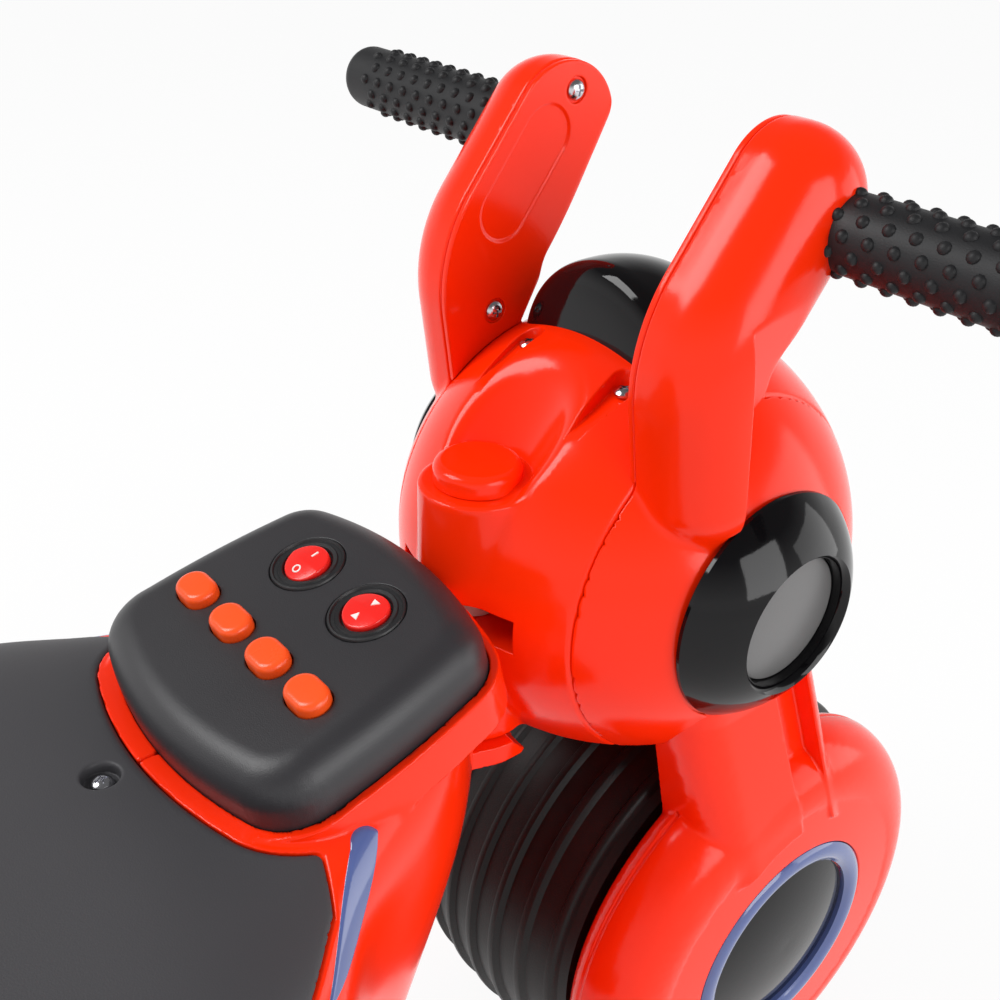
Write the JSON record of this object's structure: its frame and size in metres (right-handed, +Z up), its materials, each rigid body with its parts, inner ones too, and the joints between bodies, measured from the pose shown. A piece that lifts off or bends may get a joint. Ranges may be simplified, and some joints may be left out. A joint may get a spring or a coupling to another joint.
{
  "type": "kids electric motorbike",
  "caption": "Battery ride-on toy motorbike with a steered round head, ear-shaped handlebar arms, studded grips, switch console, moulded seat, wide front wheel and paired rear wheels.",
  "frame": {"origin": "on the ground, under the middle of the toy", "axes": "+X forward, the way the toy drives; +Y to the rider's left; +Z up"},
  "size_m": [0.6499, 0.356, 0.4265],
  "materials": {
    "red_plastic": "glossy moulded red-orange plastic",
    "orange_plastic": "glossy orange push-button plastic",
    "black_gloss": "glossy black plastic",
    "black_matte": "fine-grained matt black plastic",
    "charcoal": "matt charcoal plastic",
    "grip_rubber": "studded soft rubber",
    "tyre_black": "ribbed matt black tread",
    "grey_disc": "satin grey plastic",
    "blue_light": "translucent blue plastic",
    "steel": "plain steel",
    "screw_chrome": "bright plated steel",
    "clear_lens": "clear polycarbonate",
    "reflector": "metallised plastic",
    "gear_nylon": "natural nylon",
    "battery_case": "sealed battery case",
    "board": "printed circuit board",
    "bush_plastic": "acetal bearing plastic"
  },
  "bodies": {
    "chassis": {"body_shell_left": "red_plastic", "body_shell_right": "red_plastic", "under_tray": "black_matte", "seat": "charcoal", "seat_screws": "screw_chrome", "console_cover": "black_matte", "switch_bezels": "black_matte", "sound_board": "board", "speaker": "black_matte", "battery": "battery_case", "charging_socket": "black_matte", "side_lights": "blue_light", "pedal_switch": "black_matte", "rear_axle": "steel", "axle_caps": "black_matte", "motor": "steel", "gearbox_case_inner": "black_matte", "gearbox_case_outer": "black_matte", "steering_bushes": "bush_plastic", "body_screws": "screw_chrome"},
    "front_unit": {"head_band": "red_plastic", "cheek_left": "red_plastic", "cheek_right": "red_plastic", "ear_cover_left": "red_plastic", "ear_cover_right": "red_plastic", "head_screws": "screw_chrome", "visor": "black_gloss", "headlamp_lens": "clear_lens", "headlamp_reflector": "reflector", "eye_ring_left": "black_gloss", "eye_ring_right": "black_gloss", "eye_discs": "grey_disc", "grip_left": "grip_rubber", "grip_right": "grip_rubber", "grip_stubs": "black_matte", "fork_left": "red_plastic", "fork_right": "red_plastic", "hub_rings": "blue_light", "hub_domes": "black_gloss", "front_axle": "steel", "steering_pin": "steel", "steering_knob": "red_plastic"},
    "front_wheel": {"front_tyre": "tyre_black", "front_rim": "black_matte"},
    "rear_wheel_left": {"rear_tyre_left": "tyre_black", "rear_rim_left": "black_matte", "output_gear": "gear_nylon"},
    "rear_wheel_right": {"rear_tyre_right": "tyre_black", "rear_rim_right": "black_matte"},
    "second_gear": {"reduction_gear_2": "gear_nylon"},
    "first_gear": {"reduction_gear_1": "gear_nylon"},
    "pinion": {"motor_pinion": "gear_nylon"},
    "pedal": {"accelerator_pedal": "black_matte"},
    "button_1": {"sound_button_1": "orange_plastic"},
    "button_2": {"sound_button_2": "orange_plastic"},
    "button_3": {"sound_button_3": "orange_plastic"},
    "button_4": {"sound_button_4": "orange_plastic"},
    "power_rocker": {"rocker_power": "red_plastic"},
    "direction_rocker": {"rocker_direction": "red_plastic"}
  },
  "joints": [
    {"name": "steering", "type": "hinge", "parent": "chassis", "child": "front_unit", "pos_m": [0.1314, 0, 0.25], "axis": [0, 0, 1], "range_deg": [-22, 22]},
    {"name": "front_wheel_spin", "type": "hinge", "parent": "front_unit", "child": "front_wheel", "pos_m": [0.228, 0, 0.097], "axis": [0, 1, 0], "continuous": true},
    {"name": "rear_left_spin", "type": "hinge", "parent": "chassis", "child": "rear_wheel_left", "pos_m": [-0.25, 0.134, 0.075], "axis": [0, 1, 0], "continuous": true},
    {"name": "rear_right_spin", "type": "hinge", "parent": "chassis", "child": "rear_wheel_right", "pos_m": [-0.25, -0.134, 0.075], "axis": [0, 1, 0], "continuous": true},
    {"name": "second_gear_spin", "type": "hinge", "parent": "chassis", "child": "second_gear", "pos_m": [-0.235, 0.048, 0.10098], "axis": [0, 1, 0], "continuous": true},
    {"name": "first_gear_spin", "type": "hinge", "parent": "chassis", "child": "first_gear", "pos_m": [-0.205, 0.035, 0.10098], "axis": [0, 1, 0], "continuous": true},
    {"name": "pinion_spin", "type": "hinge", "parent": "chassis", "child": "pinion", "pos_m": [-0.18422, 0.028, 0.11298], "axis": [0, 1, 0], "continuous": true},
    {"name": "pedal_press", "type": "hinge", "parent": "chassis", "child": "pedal", "pos_m": [-0.057, -0.125, 0.073], "axis": [0, 1, 0], "range_deg": [0, 4.5], "stiffness_Nm_per_rad": 2, "springref_deg": -2.86},
    {"name": "button_1_press", "type": "slide", "parent": "chassis", "child": "button_1", "axis": [0.2419, 0, -0.9703], "range_m": [0, 0.0018], "stiffness_N_per_m": 300, "springref_m": -0.0006},
    {"name": "button_2_press", "type": "slide", "parent": "chassis", "child": "button_2", "axis": [0.2419, 0, -0.9703], "range_m": [0, 0.0018], "stiffness_N_per_m": 300, "springref_m": -0.0006},
    {"name": "button_3_press", "type": "slide", "parent": "chassis", "child": "button_3", "axis": [0.2419, 0, -0.9703], "range_m": [0, 0.0018], "stiffness_N_per_m": 300, "springref_m": -0.0006},
    {"name": "button_4_press", "type": "slide", "parent": "chassis", "child": "button_4", "axis": [0.2419, 0, -0.9703], "range_m": [0, 0.0018], "stiffness_N_per_m": 300, "springref_m": -0.0006},
    {"name": "power_rock", "type": "hinge", "parent": "chassis", "child": "power_rocker", "pos_m": [0.07567, 0.017, 0.28547], "axis": [0, 1, 0], "range_deg": [0, 14]},
    {"name": "direction_rock", "type": "hinge", "parent": "chassis", "child": "direction_rocker", "pos_m": [0.07567, -0.017, 0.28547], "axis": [0, 1, 0], "range_deg": [-7, 7]}
  ],
  "couplings": [
    {"joint": "second_gear_spin", "follows": "rear_left_spin", "ratio": -4},
    {"joint": "first_gear_spin", "follows": "rear_left_spin", "ratio": 16},
    {"joint": "pinion_spin", "follows": "rear_left_spin", "ratio": -64}
  ]
}
